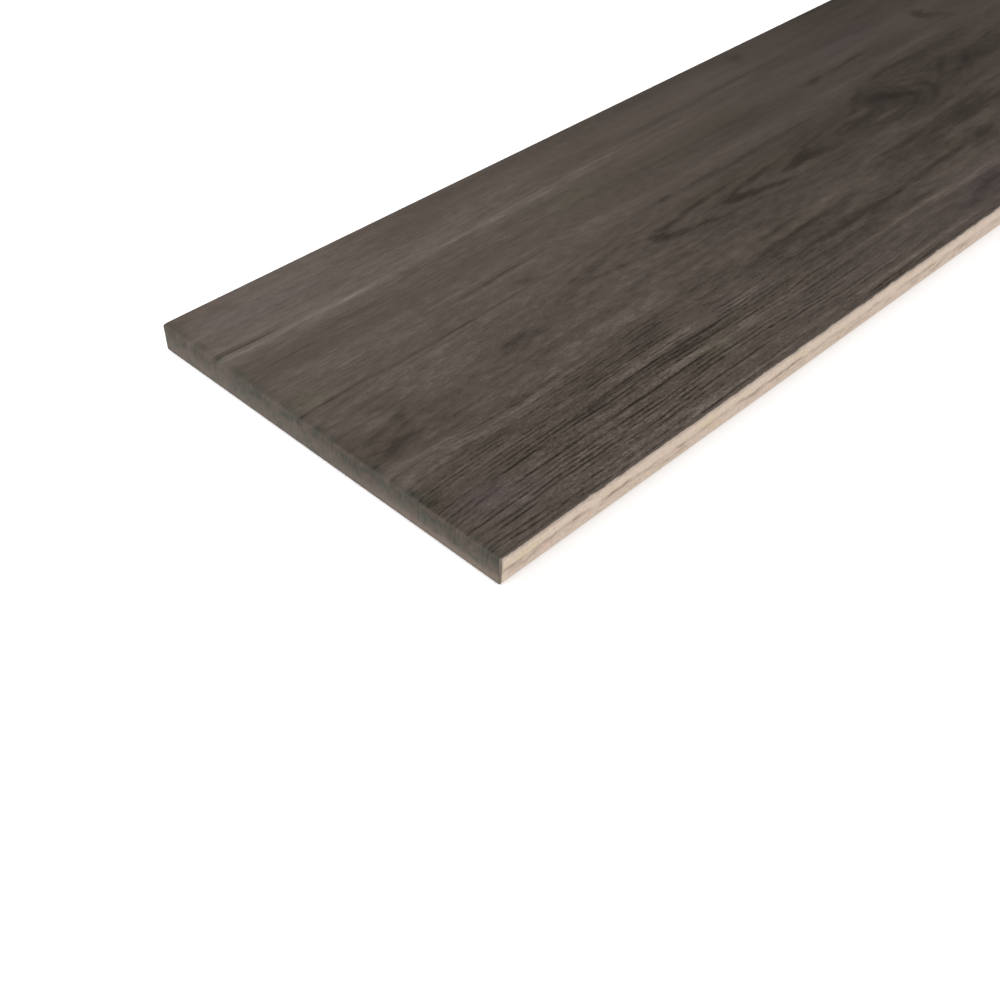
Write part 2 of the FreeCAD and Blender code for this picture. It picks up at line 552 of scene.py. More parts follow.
    def bands(self, along: Array, across: Array, fibre: Array) -> Array:
        """The broad bands of the tone.

        Noise in bands that follow the fibres: the longest all over, shorter ones stronger in the near half of
        the width, and fine ones at the near side. Less a painted shade over the middle and far part, a dark
        band
        32 mm in from the near side, a painted shade of the joint along the far edge and a darker nearer part
        of the width past 120 mm along; plus a painted sheen on the far side of the near end.

        Args:
            along: Places along the plank.
            across: Places across it.
            fibre: The fibre at each point.

        Returns:
            What they add to the tone at each point.
        """
        t = (0.45 + 0.3 * ease(along, 180, 280)) * layered_noise(along / 200, fibre / 14, 21)
        wide = 0.5 + 0.8 * (1 - ease(across, 45, 75)) * ease(across + along / 6, 30, 48)
        t = t + wide * layered_noise(along / 45, fibre / 5, 24)
        t = t + 0.5 * smooth_noise(along / 30, fibre / 2.2, 25) * (1 - ease(across, 24, 60))
        # Painted shade: darker over the middle and far part of the face, as the light falls off away from the
        # near end, tapered off before the far end.
        middle_painted_shade = 0.85 * ease(along, 120, 330) * ease(across, 20, 50)
        middle_painted_shade = middle_painted_shade + 0.6 * ease(along, 110, 190) * ease(across, 35, 60)
        middle_painted_shade = middle_painted_shade + 0.3 * ease(along, 310, 350) * ease(across, 60, 85)
        t = t - middle_painted_shade * (1 - 0.8 * ease(along, 430, 520)) - 0.55 * hump(across, 32, 15)
        # Painted sheen: paler on the far side of the near end, where a soft light's reflection falls.
        t = t + 0.5 * (1 - ease(along, 20, 130)) * ease(across, 85, 135)
        # Painted shade of the joint along the far edge, plus a darker nearer part of the width past 120 to
        # 170 mm along.
        far_edge_shade_and_near_dark = ease(across, 138, 149) + 0.5 * ease(along, 120, 170) * (1 - ease(across, 95, 115))
        return t - 0.45 * ease(along, 80, 140) * far_edge_shade_and_near_dark

    def tone(self, along: Array, across: Array, fibre: Array) -> Array:
        """How pale each point is: 0 is the plain glaze, below 0 is darker, above 0 is paler.

        The sum of the broad bands and of the streaks and blots that are placed one by one. A streak is a bell
        about the fibre that runs through its middle, eased in and out at its ends and broken up on the way.
        The blots are read off their places by a fine noise, which makes their borders ragged.

        Args:
            along: Places along the plank.
            across: Places across it.
            fibre: The fibre at each point.

        Returns:
            The tone at each point.
        """
        t = self.bands(along, across, fibre)
        broken = 0.75 + 0.4 * smooth_noise(along / 11, fibre, 26)
        for streak in self.streaks:
            middle = np.array((streak.start + streak.end) / 2)
            line = self.fibre(middle, np.array(streak.across))
            reach = ease(along, streak.start - 5, streak.start + 7)
            reach = reach * (1 - ease(along, streak.end - 7, streak.end + 5))
            t = t + streak.tone * reach * broken * hump(fibre, line, streak.width)
        ragged_along = along + 1.6 * smooth_noise(along / 4, across / 2, 41)
        ragged_across = across + 0.55 * smooth_noise(along / 5, across / 2.5, 42)
        return t + self.lay(self.blots, ragged_along, ragged_across)

    def tint(self, along: Array, across: Array) -> Array:
        """The hue: 0 is the plain brown, above 0 is drawn to olive, below 0 to an ashy lilac."""
        return 0.6 * layered_noise(along / 60, across / 16, 51, 3) + self.lay(self.tints, along, across)


class Region(Enum):
    """Which finish a face of the mesh takes, by its place in the mesh's list of materials."""

    FACE = 0
    LONG_SIDE = 1
    BACK = 2


@dataclass(frozen=True)
class PlankSizes:
    """The fired plank's sizes in millimetres. Its origin is the centre of its underside.

    Args:
        length: Over the two end faces, along X.
        width: Over the two long sides, along Y.
        thickness: From the bedding plane to the face, along Z.
    """

    length: float
    width: float
    thickness: float
    end_roll_run: float = 3.0
    end_roll_drop: float = 0.7
    end_arris_radius: float = 0.8
    end_foot_chamfer: float = 0.6
    side_top_bevel: float = 0.35
    side_foot_chamfer: float = 0.5
    corner_radius: float = 0.5
    key_border: float = 9.0
    key_pitch: float = 24.0
    key_rib: float = 4.0
    key_depth: float = 0.8
    key_draft_deg: float = 35.0
    key_floor_corner: float = 2.4

    @classmethod
    def of_node(cls, node: str) -> "PlankSizes":
        """The sizes of a solid in the frame, over its box."""
        low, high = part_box(node)
        return cls(*(round(size / MM, 3) for size in high - low))

    @property
    def half_length(self) -> float:
        """From the centre to an end face."""
        return self.length / 2

    @property
    def half_width(self) -> float:
        """From the centre to a long side."""
        return self.width / 2

    @property
    def roll_start(self) -> float:
        """From the centre to where the face starts to roll down to an end."""
        return self.half_length - self.end_roll_run

    @property
    def roll_radius(self) -> float:
        """Radius of the arc that leaves the face level and falls the roll's drop over its run."""
        return (self.end_roll_run**2 + self.end_roll_drop**2) / (2 * self.end_roll_drop)

    @property
    def arris_centre(self) -> tuple[float, float]:
        """Centre of the end's arris: its arc touches the roll from inside, and the end face.

        Returns:
            The centre's X and Z.
        """
        x = self.half_length - self.end_arris_radius
        reach = self.roll_radius - self.end_arris_radius
        return x, self.thickness - self.roll_radius + math.sqrt(reach**2 - (x - self.roll_start) ** 2)

    @property
    def arris_angle(self) -> float:
        """Angle over the level at which the roll gives way to the arris."""
        x, z = self.arris_centre
        return math.atan2(z - self.thickness + self.roll_radius, x - self.roll_start)

    def end_height(self, x: Array) -> Array:
        """Height of the upper side as the ends shape it: level, then the roll's arc, then the arris's arc.

        Args:
            x: Places along X.

        Returns:
            The height at each place.
        """
        off = np.abs(x)
        arris_x, arris_z = self.arris_centre
        meet = arris_x + self.end_arris_radius * math.cos(self.arris_angle)
        run = np.clip(off - self.roll_start, 0, meet - self.roll_start)
        roll = self.thickness - self.roll_radius + np.sqrt(self.roll_radius**2 - run**2)
        beyond = np.clip(off - arris_x, 0, self.end_arris_radius)
        arris = arris_z + np.sqrt(self.end_arris_radius**2 - beyond**2)
        return np.where(off > meet, arris, roll)

    def side_height(self, y: Array) -> Array:
        """Height of the upper side as the long sides shape it: level, then a bevel at 45 degrees."""
        return self.thickness - np.clip(np.abs(y) - self.half_width + self.side_top_bevel, 0, None)

    def top_height(self, x: Array, y: Array) -> Array:
        """Height of the upper side: the lower of what the ends and the long sides leave."""
        return np.minimum(self.end_height(x), self.side_height(y))

    def foot_height(self, x: Array, y: Array) -> Array:
        """Height of the lower side near the edge: the higher of the two foot chamfers, both at 45 degrees.

        Args:
            x: Places along X.
            y: Places along Y.

        Returns:
            The height at each place.
        """
        end = np.abs(x) - self.half_length + self.end_foot_chamfer
        side = np.abs(y) - self.half_width + self.side_foot_chamfer
        return np.clip(np.maximum(end, side), 0, None)

    def unrolled(self, points: Array) -> tuple[Array, Array]:
        """Where points lie along and across the plank, from its near left corner."""
        return points[:, 0] + self.half_length, points[:, 1] + self.half_width

    def cell_centres(self, extent: float) -> tuple[Array, float]:
        """Where the back's cells are centred: an even number of them, spread over what the borders leave.

        Args:
            extent: The plank's length or width.

        Returns:
            The centres, and the pitch from one to the next.
        """
        across_cells = extent - 2 * self.key_border + self.key_rib
        count = 2 * max(1, round(across_cells / (2 * self.key_pitch)))
        pitch = across_cells / count
        return (np.arange(count) - (count - 1) / 2) * pitch, pitch


@dataclass
class Patch:
    """One stretch of the surface.

    Args:
        points: Its points in millimetres, one row each.
        along: Each point's place along the unrolled face.
        across: Each point's place across the unrolled face.
        faces: Its faces' corners, rows of four or of three.
        regions: The region of each face.
    """

    points: Array
    along: Array
    across: Array
    faces: Array
    regions: Array


def grid_quads(rows: int, columns: int) -> Array:
    """The faces of a grid, four point numbers each, whose points run column by column within each row."""
    first = (np.arange(rows - 1)[:, None] * columns + np.arange(columns - 1)[None, :]).ravel()
    return np.stack([first, first + columns, first + columns + 1, first + 1], axis=1)


def ring_quads(rings: int, count: int) -> Array:
    """The faces between closed rings of points, each ring `count` points long and the last ring innermost.

    Args:
        rings: How many rings there are.
        count: How many points there are in each.

    Returns:
        Four point numbers for each face, in the order that looks out of a solid inside the rings.
    """
    step = np.arange(count)
    following = (step + 1) % count
    base = np.arange(rings - 1)[:, None] * count
    corners = [base + step, base + count + step, base + count + following, base + following]
    return np.stack([corner.ravel() for corner in corners], axis=1)


def round_the_rim(columns: Array, rows: Array) -> tuple[Array, Array]:
    """The rim of a rectangle of lines, anticlockwise seen from above, from its front left corner.

    Args:
        columns: The lines' places along X.
        rows: The lines' places along Y.

    Returns:
        The rim's points, and each one's side plus its share of it: the front is 0, right 1, back 2, left 3.
    """
    level, upright = np.ones(columns.size - 1), np.ones(rows.size - 1)
    x = np.concatenate([columns[:-1], columns[-1] * upright, columns[:0:-1], columns[0] * upright])
    y = np.concatenate([rows[0] * level, rows[:-1], rows[-1] * level, rows[:0:-1]])
    there = [(line[:-1] - line[0]) / (line[-1] - line[0]) for line in (columns, rows)]
    back = [(line[-1] - line[:0:-1]) / (line[-1] - line[0]) for line in (columns, rows)]
    return np.stack([x, y], axis=1), np.concatenate([side + part for side, part in enumerate(there + back)])


def zip_rims(outer: Array, inner: Array) -> Array:
    """Triangles that close the gap between two rims, facing down.

    Each rim is a run of rising shares of the way round, from 0 to 4. The edges of both are taken in the order
    of their far ends, and each makes a triangle with the point that the other rim has then come to.

    Args:
        outer: The outer rim's shares. Its points are numbered first.
        inner: The inner rim's shares. Its points are numbered after the outer ones.

    Returns:
        Three point numbers for each triangle.
    """
    outer_ends = np.append(outer[1:], 4.0)
    inner_ends = np.append(inner[1:], 4.0)
    outer_first = np.arange(outer.size)
    outer_second = (outer_first + 1) % outer.size
    inner_first = np.arange(inner.size)
    inner_second = (inner_first + 1) % inner.size
    inner_met = np.searchsorted(inner_ends, outer_ends, "left") % inner.size + outer.size
    outer_met = np.searchsorted(outer_ends, inner_ends, "right") % outer.size
    from_outer = np.stack([outer_first, inner_met, outer_second], axis=1)
    from_inner = np.stack([inner_first + outer.size, inner_second + outer.size, outer_met], axis=1)
    return np.concatenate([from_outer, from_inner])


@dataclass
class FiredPlank:
    """The plank as it comes from the kiln: one closed skin over its face, ends, long sides and keyed back.

    Args:
        sizes: The plank's sizes.
        grain: The wood grain on its face.
        step_along: Spacing of the face's points along the plank.
        step_across: Spacing of the face's points across it.
        roll_steps: How many steps the face takes down each end's roll.
        arris_steps: How many steps the arris below it takes, and the bevel of a long side.
        wall_steps: How many steps the walls take down to the foot.
        groove_depth: How deep the finest grooves of the grain are.
        streak_depth: How deep the streaks beside them are.
        streak_size: Their width and their length.
        swell_depth: How deep the face's soft hollows are.
        swell_size: Their width and their length.
        relief_fade: How far over the rim the relief dies away.
        crest_round: How far the crest of a rib is rounded.
    """

    sizes: PlankSizes
    grain: WoodPrint
    step_along: float = 3.0
    step_across: float = 0.4315
    roll_steps: int = 5
    arris_steps: int = 4
    wall_steps: int = 3
    groove_depth: float = 0.13
    streak_depth: float = 0.05
    streak_size: tuple[float, float] = (1.4, 70.0)
    swell_depth: float = 0.06
    swell_size: tuple[float, float] = (11.0, 90.0)
    relief_fade: float = 1.5
    crest_round: float = 0.12

    def relief(self, along: Array, across: Array) -> Array:
        """How far the face lies under its own plane: the sum of its grooves, streaks and soft hollows.

        Args:
            along: Places along the plank.
            across: Places across it.

        Returns:
            The depth at each point.
        """
        fibre = self.grain.fibre(along, across)
        grooves = self.grain.grooves(along, across, fibre)
        streaks = 0.5 + 0.5 * layered_noise(fibre / self.streak_size[0], along / self.streak_size[1], 41)
        swell = 0.5 + 0.5 * layered_noise(across / self.swell_size[0], along / self.swell_size[1], 42)
        return self.groove_depth * grooves + self.streak_depth * streaks + self.swell_depth * swell

    def face_lines(self) -> tuple[Array, Array]:
        """The lines of the face's grid: even along and across, and closer on the roll down to each end.

        Returns:
            The lines' places along X, and those along Y.
        """
        s = self.sizes
        arris_x, _ = s.arris_centre
        meet = arris_x + s.end_arris_radius * math.cos(s.arris_angle)
        flat = np.linspace(-s.roll_start, s.roll_start, round(2 * s.roll_start / self.step_along) + 1)
        roll = np.linspace(s.roll_start, meet, self.roll_steps + 1)[1:]
        columns = np.concatenate([-roll[::-1], flat, roll])
        edge = s.half_width - s.side_top_bevel
        rows = np.linspace(-edge, edge, round(2 * edge / self.step_across) + 1)
        return columns, rows

    def face_patch(self, columns: Array, rows: Array) -> Patch:
        """The face: the upper side's height over a grid of lines, less the grain's relief.

        Args:
            columns: The lines' places along X.
            rows: The lines' places along Y.

        Returns:
            The patch.
        """
        x, y = (part.ravel() for part in np.meshgrid(columns, rows, indexing="ij"))
        along, across = x + self.sizes.half_length, y + self.sizes.half_width
        z = self.sizes.top_height(x, y) - self.relief(along, across)
        faces = grid_quads(columns.size, rows.size)
        regions = np.full(len(faces), Region.FACE.value)
        return Patch(np.stack([x, y, z], axis=1), along, across, faces, regions)

    def rim_patch(self, columns: Array, rows: Array) -> tuple[Patch, Array, Array]:
        """The band round the plank, from the face's rim down to the bedding plane.

        Each of its rows is the face's rim moved out by a share of the way to the plan's rounded outline, over
        the arris or bevel, then down the wall and back in under the foot chamfer. The relief dies away over
        its first rows, and `along` and `across` run on down it as if the face were unrolled.

        Args:
            columns: The places along X of the face's lines.
            rows: The places along Y of the face's lines.

        Returns:
            The patch, its lowest row's points, and each of those points' share of the way round.
        """
        s = self.sizes
        rim, share = round_the_rim(columns, rows)
        half = np.array([s.half_length, s.half_width])
        spread = rim / np.array([columns[-1], rows[-1]])
        core = np.clip(spread * half, s.corner_radius - half, half - s.corner_radius)
        away = spread * half - core
        outer = core + s.corner_radius * away / np.linalg.norm(away, axis=1, keepdims=True)
        foot = spread * (half - [s.end_foot_chamfer, s.side_foot_chamfer])

        angles = np.linspace(s.arris_angle, 0, self.arris_steps + 1)
        shares = (np.cos(angles) - math.cos(s.arris_angle)) / (1 - math.cos(s.arris_angle))
        plan = rim[None] + (outer - rim)[None] * shares[:, None, None]
        heights = s.top_height(plan[..., 0], plan[..., 1])
        foot_top = s.foot_height(outer[:, 0], outer[:, 1])
        down = np.linspace(0, 1, self.wall_steps + 1)[1:, None]
        wall_heights = heights[-1] + (foot_top - heights[-1]) * down
        plan = np.concatenate([plan, np.repeat(outer[None], self.wall_steps, axis=0), foot[None]])
        heights = np.concatenate([heights, wall_heights, np.zeros((1, len(rim)))])

        moved = np.diff(np.concatenate([plan, heights[..., None]], axis=2), axis=0)
        run = np.concatenate([np.zeros((1, len(rim))), np.cumsum(np.linalg.norm(moved, axis=2), axis=0)])
        side = np.floor(share).astype(int)
        out_x = np.array([0, 1, 0, -1])[side]
        out_y = np.array([-1, 0, 1, 0])[side]
        along = rim[:, 0] + s.half_length + out_x * run
        across = rim[:, 1] + s.half_width + out_y * run
        on_ends = (side % 2 == 1)[None]
        fade = np.clip(1 - run / self.relief_fade, 0, 1)
        lowest = heights.shape[0] - 1
        sunk = self.relief(along, across) * fade * (np.arange(lowest + 1) < lowest - 1)[:, None]
        heights = heights - sunk * np.where(on_ends, 1, fade**2)

        count = len(rim)
        faces = ring_quads(lowest + 1, count)
        regions = np.tile(np.where(on_ends[0], Region.FACE.value, Region.LONG_SIDE.value), lowest)
        points = np.concatenate([plan, heights[..., None]], axis=2).reshape(-1, 3)
        return Patch(points, along.ravel(), across.ravel(), faces, regions), points[-count:], share

    def border_patch(self, rim: Array, rim_share: Array, columns: Array, rows: Array) -> Patch:
        """The plain border of the back, zipped between the foot's rim and the outermost ribs.

        Args:
            rim: The foot's points.
            rim_share: Each one's share of the way round.
            columns: Where the ribs' points lie along X.
            rows: Where they lie along Y.

        Returns:
            The patch.
        """
        inner, inner_share = round_the_rim(columns, rows)
        inner = np.concatenate([inner, np.zeros((len(inner), 1))], axis=1)
        points = np.concatenate([rim, inner])
        faces = zip_rims(rim_share, inner_share)
        regions = np.full(len(faces), Region.BACK.value)
        return Patch(points, *self.sizes.unrolled(points), faces, regions)

    def cell_ring(self, half_x: float, half_y: float, corner: float) -> Array:
        """A cell's outline: five points to a side, the first in the middle of its rounded corner.

        Args:
            half_x: Half its size along X.
            half_y: Half its size along Y.
            corner: The radius of its corners.

        Returns:
            The twenty points, anticlockwise seen from above.
        """
        mid = corner * (1 - math.sqrt(0.5))
        share = np.array([-1.0, -1 / 3, 1 / 3, 1.0])
        right = np.stack([np.full(4, half_x), (half_y - corner) * share], axis=1)
        back = np.stack([-(half_x - corner) * share, np.full(4, half_y)], axis=1)
        right = np.concatenate([[[half_x - mid, mid - half_y]], right])
        back = np.concatenate([[[half_x - mid, half_y - mid]], back])
        return np.concatenate([right, back, -right, -back])

    def pitch_ring(self, half_x: float, half_y: float) -> Array:
        """The middle lines of the ribs round a cell, at places that its neighbours share.

        Args:
            half_x: Half the cells' pitch along X.
            half_y: Half their pitch along Y.

        Returns:
            The twenty points, anticlockwise seen from above.
        """
        right = np.stack([np.full(RIB_SHARES.size, half_x), half_y * RIB_SHARES], axis=1)
        back = np.stack([-half_x * RIB_SHARES, np.full(RIB_SHARES.size, half_y)], axis=1)
        return np.concatenate([right, back, -right, -back])

    @staticmethod
    def rib_lines(centres: Array, pitch: float) -> Array:
        """Where the ribs' points lie along one extent: at the same shares of each cell's pitch."""
        lines = (centres[:, None] + RIB_SHARES * pitch / 2).ravel()
        return np.append(lines, centres[-1] + pitch / 2)

    def cells_patch(self) -> tuple[Patch, Array, Array]:
        """Every cell of the back, from the middle of its ribs over their crests and walls to its floor.

        Returns:
            The patch, and where its outermost points lie along X and along Y.
        """
        s = self.sizes
        centres_x, pitch_x = s.cell_centres(s.length)
        centres_y, pitch_y = s.cell_centres(s.width)
        half_x, half_y = (pitch_x - s.key_rib) / 2, (pitch_y - s.key_rib) / 2
        draft = s.key_depth * math.tan(math.radians(s.key_draft_deg))
        mouth = s.key_floor_corner + draft
        crest = self.crest_round
        rings = [
            (self.pitch_ring(pitch_x / 2, pitch_y / 2), 0.0),
            (self.cell_ring(half_x + crest, half_y + crest, mouth + crest), 0.0),
            (self.cell_ring(half_x - crest, half_y - crest, mouth), crest),
            (self.cell_ring(half_x - draft, half_y - draft, s.key_floor_corner), s.key_depth),
        ]
        count = len(rings[0][0])
        cell = np.concatenate([np.column_stack([ring, np.full(count, z)]) for ring, z in rings])
        cell = np.concatenate([cell, [[0, 0, s.key_depth]]])
        centre_number = len(cell) - 1
        step = np.arange(count) + (len(rings) - 1) * count
        fan = np.stack([step, np.full(count, centre_number), np.roll(step, -1)], axis=1)
        fan = np.concatenate([fan, fan[:, 2:]], axis=1)
        cell_faces = np.concatenate([ring_quads(len(rings), count), fan])
        place_x, place_y = (part.ravel() for part in np.meshgrid(centres_x, centres_y, indexing="ij"))
        places = np.column_stack([place_x, place_y, np.zeros(place_x.size)])
        points = (places[:, None] + cell[None]).reshape(-1, 3)
        offsets = (np.arange(len(places)) * len(cell))[:, None, None]
        faces = (cell_faces[None] + offsets).reshape(-1, 4)
        regions = np.full(len(faces), Region.BACK.value)
        patch = Patch(points, *s.unrolled(points), faces, regions)
        return patch, self.rib_lines(centres_x, pitch_x), self.rib_lines(centres_y, pitch_y)

    def build(self) -> bpy.types.Object:
        """Joins the patches into one closed mesh object.

        Returns:
            The object, at the origin, with the face's print as attributes of its points.
        """
        columns, rows = self.face_lines()
        band, foot, foot_share = self.rim_patch(columns, rows)
        cells, cell_columns, cell_rows = self.cells_patch()
        border = self.border_patch(foot, foot_share, cell_columns, cell_rows)
        patches = [self.face_patch(columns, rows), band, border, cells]
        return join_patches("fired_plank", patches, self.grain)

    def dress(self, piece: bpy.types.Object) -> None:
        """Gives the piece a finish for each region of its skin.

        Args:
            piece: The object that `build` made.
        """
        finishes = {
            Region.FACE: WoodGlaze(self.sizes),
            Region.LONG_SIDE: FiredSide(self.sizes),
            Region.BACK: KeyedBack(),
        }
        for region in Region:
            piece.data.materials.append(finishes[region].dress())


def put_in_scene(name: str, content: bpy.types.ID) -> bpy.types.Object:
    """Puts a mesh, a lamp or a camera in the scene.

    Args:
        name: The object's name.
        content: What the object holds.

    Returns:
        The new object.
    """
    thing = bpy.data.objects.new(name, content)
    bpy.context.scene.collection.objects.link(thing)
    return thing


def join_patches(name: str, patches: list[Patch], grain: WoodPrint) -> bpy.types.Object:
    """Puts patches into one mesh, with points that fall together made one.

    Args:
        name: The object's name.
        patches: The patches, which meet point to point.
        grain: The wood grain that the points' attributes are read from.

    Returns:
        The new object, linked to the scene.
    """
    points = np.concatenate([patch.points for patch in patches])
    rounded = np.round(points, MERGE_DECIMALS)
    _, kept, place = np.unique(rounded, axis=0, return_index=True, return_inverse=True)
    place = place.ravel()
    starts = np.cumsum([0] + [len(patch.points) for patch in patches])
    faces = []
    for patch, start in zip(patches, starts):
        corners = place[patch.faces + start]
        if corners.shape[1] == 4:
            short = (corners[:, 3] == corners[:, 2]).tolist()
            faces += [row[:3] if three else row for row, three in zip(corners.tolist(), short)]
        else:
            faces += corners.tolist()
    mesh = bpy.data.meshes.new(name)
    mesh.from_pydata(points[kept] * MM, [], faces)
    mesh.polygons.foreach_set("material_index", np.concatenate([patch.regions for patch in patches]))
    mesh.polygons.foreach_set("use_smooth", np.ones(len(faces), dtype=bool))
    mesh.set_sharp_from_angle(angle=math.radians(SHARP_DEG))
    along = np.concatenate([patch.along for patch in patches])[kept]
    across = np.concatenate([patch.across for patch in patches])[kept]
    fibre = grain.fibre(along, across)
    count, strength = grain.veins(along, across, fibre)
    fields = {
        "along": along,
        "fibre": fibre,
        "tone": grain.tone(along, across, fibre),
        "tint": grain.tint(along, across),
        "vein": count,
        "vein_strength": strength,
        "ring": grain.rings(along, fibre),
        "ring_show": grain.ring_show(along, fibre),
    }
    for title, values in fields.items():
        mesh.attributes.new(title, "FLOAT", "POINT").data.foreach_set("value", values.astype(np.float32))
    return put_in_scene(name, mesh)


class Value:
    """A socket of a shader that takes part in arithmetic: each operator adds one Math node.

    Args:
        graph: The graph that the socket is in.
        socket: The output that carries the number.
    """

    def __init__(self, graph: "Graph", socket: bpy.types.NodeSocket) -> None:
        """Keeps the graph and the socket."""
        self.graph = graph
        self.socket = socket

    def __add__(self, other: "Value | float") -> "Value":
        """The sum."""
        return self.graph.math("ADD", self, other)

    def __radd__(self, other: float) -> "Value":
        """The sum with a plain number first."""
        return self.graph.math("ADD", other, self)

    def __sub__(self, other: "Value | float") -> "Value":
        """The difference."""
        return self.graph.math("SUBTRACT", self, other)

    def __rsub__(self, other: float) -> "Value":
        """A plain number less this."""
        return self.graph.math("SUBTRACT", other, self)

    def __mul__(self, other: "Value | float") -> "Value":
        """The product."""
        return self.graph.math("MULTIPLY", self, other)

    def __rmul__(self, other: float) -> "Value":
        """The product with a plain number first."""
        return self.graph.math("MULTIPLY", other, self)

    def __truediv__(self, other: "Value | float") -> "Value":
        """The quotient."""
        return self.graph.math("DIVIDE", self, other)

    def __abs__(self) -> "Value":
        """The size without its sign."""
        return self.graph.math("ABSOLUTE", self)


Input = Value | bpy.types.NodeSocket | float | tuple[float, ...]


def paint(red: float, green: float, blue: float) -> tuple[float, float, float, float]:
    """A screen colour, 0 to 255 a channel, as the linear light that a shader takes."""
    channels = (c / 255 for c in (red, green, blue))
    return (*(c / 12.92 if c <= 0.04045 else ((c + 0.055) / 1.055) ** 2.4 for c in channels), 1.0)


class Graph:
    """The nodes of one material or of the world."""

    def __init__(self, owner: bpy.types.Material | bpy.types.World) -> None:
        """Starts with no nodes.

        Args:
            owner: The material or world, whose own nodes are cleared.
        """
        owner.use_nodes = True
        self.owner = owner
        self.tree = owner.node_tree
        self.tree.nodes.clear()

    @classmethod
    def of_material(cls, name: str) -> "Graph":
        """The graph of a new material."""
        return cls(bpy.data.materials.new(name))

    @staticmethod
    def find(sockets: bpy.types.bpy_prop_collection, key: str) -> bpy.types.NodeSocket:
        """The socket whose identifier is `key`, or whose name is."""
        by_identifier = [socket for socket in sockets if socket.identifier == key]
        return by_identifier[0] if by_identifier else sockets[key]

    def node(
        self, kind: str, settings: dict | None = None, inputs: dict[str, Input] | None = None
    ) -> bpy.types.Node:
        """Adds a node.

        Args:
            kind: The node's type, after "ShaderNode".
            settings: Its settings, which are set first. A colour ramp's "stops" are places and colours.
            inputs: What goes into its sockets: a value, another node's socket or a constant.

        Returns:
            The node.
        """
        node = self.tree.nodes.new(f"ShaderNode{kind}")
        for key, setting in (settings or {}).items():
            if key == "stops":
                elements = node.color_ramp.elements
                for _ in setting[2:]:
                    elements.new(0.5)
                for element, (place, colour) in zip(elements, setting):
                    element.position = place
                    element.color = colour
            else:
                setattr(node, key, setting)
        for key, given in (inputs or {}).items():
            socket = self.find(node.inputs, key)
            if isinstance(given, Value):
                self.tree.links.new(given.socket, socket)
            elif isinstance(given, bpy.types.NodeSocket):
                self.tree.links.new(given, socket)
            else:
                socket.default_value = given
        return node

    def value(
        self, output: str, kind: str, settings: dict | None = None, inputs: dict[str, Input] | None = None
    ) -> Value:
        """Adds a node and gives one of its outputs as a value."""
        return Value(self, self.find(self.node(kind, settings, inputs).outputs, output))

    def math(self, operation: str, *terms: "Value | float") -> Value:
        """Adds a Math node on one, two or three terms."""
        names = ("Value", "Value_001", "Value_002")
        return self.value("Value", "Math", {"operation": operation}, dict(zip(names, terms)))

    def attribute(self, name: str) -> Value:
        """A number that the mesh's points carry."""
        return self.value("Fac", "Attribute", {"attribute_name": name})

    def place(self) -> tuple[Value, Value, Value]:
        """The surface's place in millimetres.

        Returns:
            Its X, Y and Z in the object.
        """
        coordinates = self.node("TexCoord").outputs["Object"]
        split = self.node("SeparateXYZ", None, {"Vector": coordinates})
        return tuple(Value(self, split.outputs[axis]) / MM for axis in "XYZ")

    def ease(self, value: Value, low: float, high: float) -> Value:
        """Rises smoothly from 0 at `low` to 1 at `high`."""
        limits = {"Value": value, "From Min": low, "From Max": high}
        return self.value("Result", "MapRange", {"interpolation_type": "SMOOTHSTEP"}, limits)

    def noise(
        self, u: Value, v: Value, w: "Value | float" = 0.0, detail: float = 1.0, rough: float = 0.5
    ) -> Value:
        """Smooth noise with a lattice step to each unit, from about -1 to 1.

        Args:
            u: First coordinate.
            v: Second coordinate.
            w: Third coordinate, or a plain number that picks another part of the noise.
            detail: How many finer layers are added.
            rough: Each layer's strength over the one before.

        Returns:
            The noise, 0 on average.
        """
        point = self.node("CombineXYZ", None, {"X": u, "Y": v, "Z": w}).outputs["Vector"]
        inputs = {"Vector": point, "Scale": 1.0, "Detail": detail, "Roughness": rough}
        return self.value("Fac", "TexNoise", None, inputs) * NOISE_SPAN - NOISE_SPAN / 2

    def ramp(self, value: Value, shades: Shades) -> bpy.types.NodeSocket:
        """A colour from a scale of shades.

        Args:
            value: What picks the shade.
            shades: Values and their screen colours, from the lowest up.

        Returns:
            The colour's socket.
        """
        low = shades[0][0]
        span = shades[-1][0] - low
        stops = [((at - low) / span, paint(*colour)) for at, colour in shades]
        return self.node("ValToRGB", {"stops": stops}, {"Fac": (value - low) / span}).outputs["Color"]

    def blend(self, share: Value, under: Input, over: Input, way: str = "MIX") -> bpy.types.NodeSocket:
        """Mixes two colours.

        Args:
            share: How much of the second is taken, from 0 to 1.
            under: The first colour.
            over: The second colour.
            way: How the second is laid on the first.

        Returns:
            The mixed colour's socket.
        """
        settings = {"data_type": "RGBA", "blend_type": way}
        inputs = {"Factor_Float": share, "A_Color": under, "B_Color": over}
        return self.find(self.node("Mix", settings, inputs).outputs, "Result_Color")

    def bump(self, height: Value) -> bpy.types.NodeSocket:
        """The normal of a surface raised by a height in millimetres."""
        return self.node("Bump", None, {"Strength": 1.0, "Distance": MM, "Height": height}).outputs["Normal"]

    def finish(
        self, colour: Input, rough: Input, specular: float, more: dict[str, Input]
    ) -> bpy.types.Material:
        """Closes the material with a Principled shader.

        Args:
            colour: Its base colour.
            rough: Its roughness.
            specular: How much it mirrors when seen straight on.
            more: What goes into its other sockets.

        Returns:
            The material.
        """
        inputs = {"Base Color": colour, "Roughness": rough, "Specular IOR Level": specular, **more}
        shader = self.node("BsdfPrincipled", None, inputs).outputs["BSDF"]
        self.node("OutputMaterial", None, {"Surface": shader})
        return self.owner

